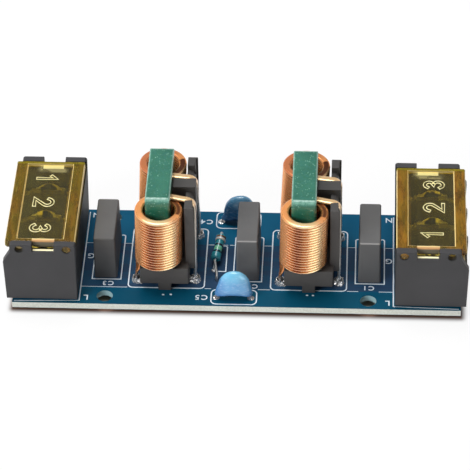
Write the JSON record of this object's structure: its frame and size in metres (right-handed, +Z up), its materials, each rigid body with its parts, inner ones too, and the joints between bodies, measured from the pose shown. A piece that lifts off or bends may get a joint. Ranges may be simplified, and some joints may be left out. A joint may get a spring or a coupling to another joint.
{
  "type": "emi line filter",
  "caption": "Mains line filter on a narrow circuit board: covered screw terminal blocks at both ends, upright flat wire chokes, box and disc capacitors and a resistor between them.",
  "frame": {"origin": "under the middle of the board, in the plane where the trimmed leads stand", "axes": "+X along the board from the left block to the right block, +Y away from the edge with the front disc capacitor, +Z up"},
  "size_m": [0.1028, 0.0324, 0.0278],
  "materials": {
    "board": "glossy blue solder mask on glass fibre",
    "solder": "bright solder",
    "block_plastic": "dark grey moulded plastic",
    "cover_plastic": "clear amber plastic",
    "tinned_brass": "tinned",
    "zinc_steel": "bright zinc",
    "core_coating": "green epoxy coating",
    "base_plastic": "black moulded plastic",
    "winding_wire": "enamelled copper",
    "case_plastic": "grey moulded case",
    "case_resin": "cast resin",
    "tinned_wire": "tinned copper",
    "disc_coating": "light blue dipped coating",
    "resistor_paint": "blue green lacquer with colour bands"
  },
  "bodies": {
    "board_assembly": {"pcb": "board", "solder_joints": "solder", "block_left": "block_plastic", "block_right": "block_plastic", "contact_left_1": "tinned_brass", "contact_left_2": "tinned_brass", "contact_left_3": "tinned_brass", "contact_right_1": "tinned_brass", "contact_right_2": "tinned_brass", "contact_right_3": "tinned_brass", "core_left": "core_coating", "core_right": "core_coating", "choke_base_left": "base_plastic", "choke_base_right": "base_plastic", "coil_front_left": "winding_wire", "coil_front_right": "winding_wire", "coil_back_left": "winding_wire", "coil_back_right": "winding_wire", "cap_case_left": "case_plastic", "cap_case_middle": "case_plastic", "cap_case_right": "case_plastic", "cap_resin_left": "case_resin", "cap_resin_middle": "case_resin", "cap_resin_right": "case_resin", "cap_leads_left": "tinned_wire", "cap_leads_middle": "tinned_wire", "cap_leads_right": "tinned_wire", "disc_front": "disc_coating", "disc_back": "disc_coating", "disc_leads_front": "tinned_wire", "disc_leads_back": "tinned_wire", "resistor": "resistor_paint", "resistor_leads": "tinned_wire"},
    "left_cover": {"cover_left": "cover_plastic"},
    "right_cover": {"cover_right": "cover_plastic"},
    "left_clamp_1": {"clamp_left_1": "zinc_steel"},
    "left_screw_1": {"screw_left_1": "zinc_steel"},
    "left_clamp_2": {"clamp_left_2": "zinc_steel"},
    "left_screw_2": {"screw_left_2": "zinc_steel"},
    "left_clamp_3": {"clamp_left_3": "zinc_steel"},
    "left_screw_3": {"screw_left_3": "zinc_steel"},
    "right_clamp_1": {"clamp_right_1": "zinc_steel"},
    "right_screw_1": {"screw_right_1": "zinc_steel"},
    "right_clamp_2": {"clamp_right_2": "zinc_steel"},
    "right_screw_2": {"screw_right_2": "zinc_steel"},
    "right_clamp_3": {"clamp_right_3": "zinc_steel"},
    "right_screw_3": {"screw_right_3": "zinc_steel"}
  },
  "joints": [
    {"name": "left_cover_hinge", "type": "hinge", "parent": "board_assembly", "child": "left_cover", "pos_m": [-0.03715, 0, 0.018], "axis": [0, 1, 0], "range_deg": [0, 110]},
    {"name": "right_cover_hinge", "type": "hinge", "parent": "board_assembly", "child": "right_cover", "pos_m": [0.03715, 0, 0.018], "axis": [0, -1, 0], "range_deg": [0, 110]},
    {"name": "left_clamp_1_lift", "type": "slide", "parent": "board_assembly", "child": "left_clamp_1", "axis": [0, 0, 1], "range_m": [0, 0.0028]},
    {"name": "left_screw_1_turn", "type": "hinge", "parent": "left_clamp_1", "child": "left_screw_1", "pos_m": [-0.0436, 0.0095, 0.0122], "axis": [0, 0, 1], "range_deg": [0, 1440]},
    {"name": "left_clamp_2_lift", "type": "slide", "parent": "board_assembly", "child": "left_clamp_2", "axis": [0, 0, 1], "range_m": [0, 0.0028]},
    {"name": "left_screw_2_turn", "type": "hinge", "parent": "left_clamp_2", "child": "left_screw_2", "pos_m": [-0.0436, 0, 0.0122], "axis": [0, 0, 1], "range_deg": [0, 1440]},
    {"name": "left_clamp_3_lift", "type": "slide", "parent": "board_assembly", "child": "left_clamp_3", "axis": [0, 0, 1], "range_m": [0, 0.0028]},
    {"name": "left_screw_3_turn", "type": "hinge", "parent": "left_clamp_3", "child": "left_screw_3", "pos_m": [-0.0436, -0.0095, 0.0122], "axis": [0, 0, 1], "range_deg": [0, 1440]},
    {"name": "right_clamp_1_lift", "type": "slide", "parent": "board_assembly", "child": "right_clamp_1", "axis": [0, 0, 1], "range_m": [0, 0.0028]},
    {"name": "right_screw_1_turn", "type": "hinge", "parent": "right_clamp_1", "child": "right_screw_1", "pos_m": [0.0436, -0.0095, 0.0122], "axis": [0, 0, 1], "range_deg": [0, 1440]},
    {"name": "right_clamp_2_lift", "type": "slide", "parent": "board_assembly", "child": "right_clamp_2", "axis": [0, 0, 1], "range_m": [0, 0.0028]},
    {"name": "right_screw_2_turn", "type": "hinge", "parent": "right_clamp_2", "child": "right_screw_2", "pos_m": [0.0436, 0, 0.0122], "axis": [0, 0, 1], "range_deg": [0, 1440]},
    {"name": "right_clamp_3_lift", "type": "slide", "parent": "board_assembly", "child": "right_clamp_3", "axis": [0, 0, 1], "range_m": [0, 0.0028]},
    {"name": "right_screw_3_turn", "type": "hinge", "parent": "right_clamp_3", "child": "right_screw_3", "pos_m": [0.0436, 0.0095, 0.0122], "axis": [0, 0, 1], "range_deg": [0, 1440]}
  ],
  "couplings": [
    {"joint": "left_screw_1_turn", "follows": "left_clamp_1_lift", "rad_per_m": 8976},
    {"joint": "left_screw_2_turn", "follows": "left_clamp_2_lift", "rad_per_m": 8976},
    {"joint": "left_screw_3_turn", "follows": "left_clamp_3_lift", "rad_per_m": 8976},
    {"joint": "right_screw_1_turn", "follows": "right_clamp_1_lift", "rad_per_m": 8976},
    {"joint": "right_screw_2_turn", "follows": "right_clamp_2_lift", "rad_per_m": 8976},
    {"joint": "right_screw_3_turn", "follows": "right_clamp_3_lift", "rad_per_m": 8976}
  ]
}
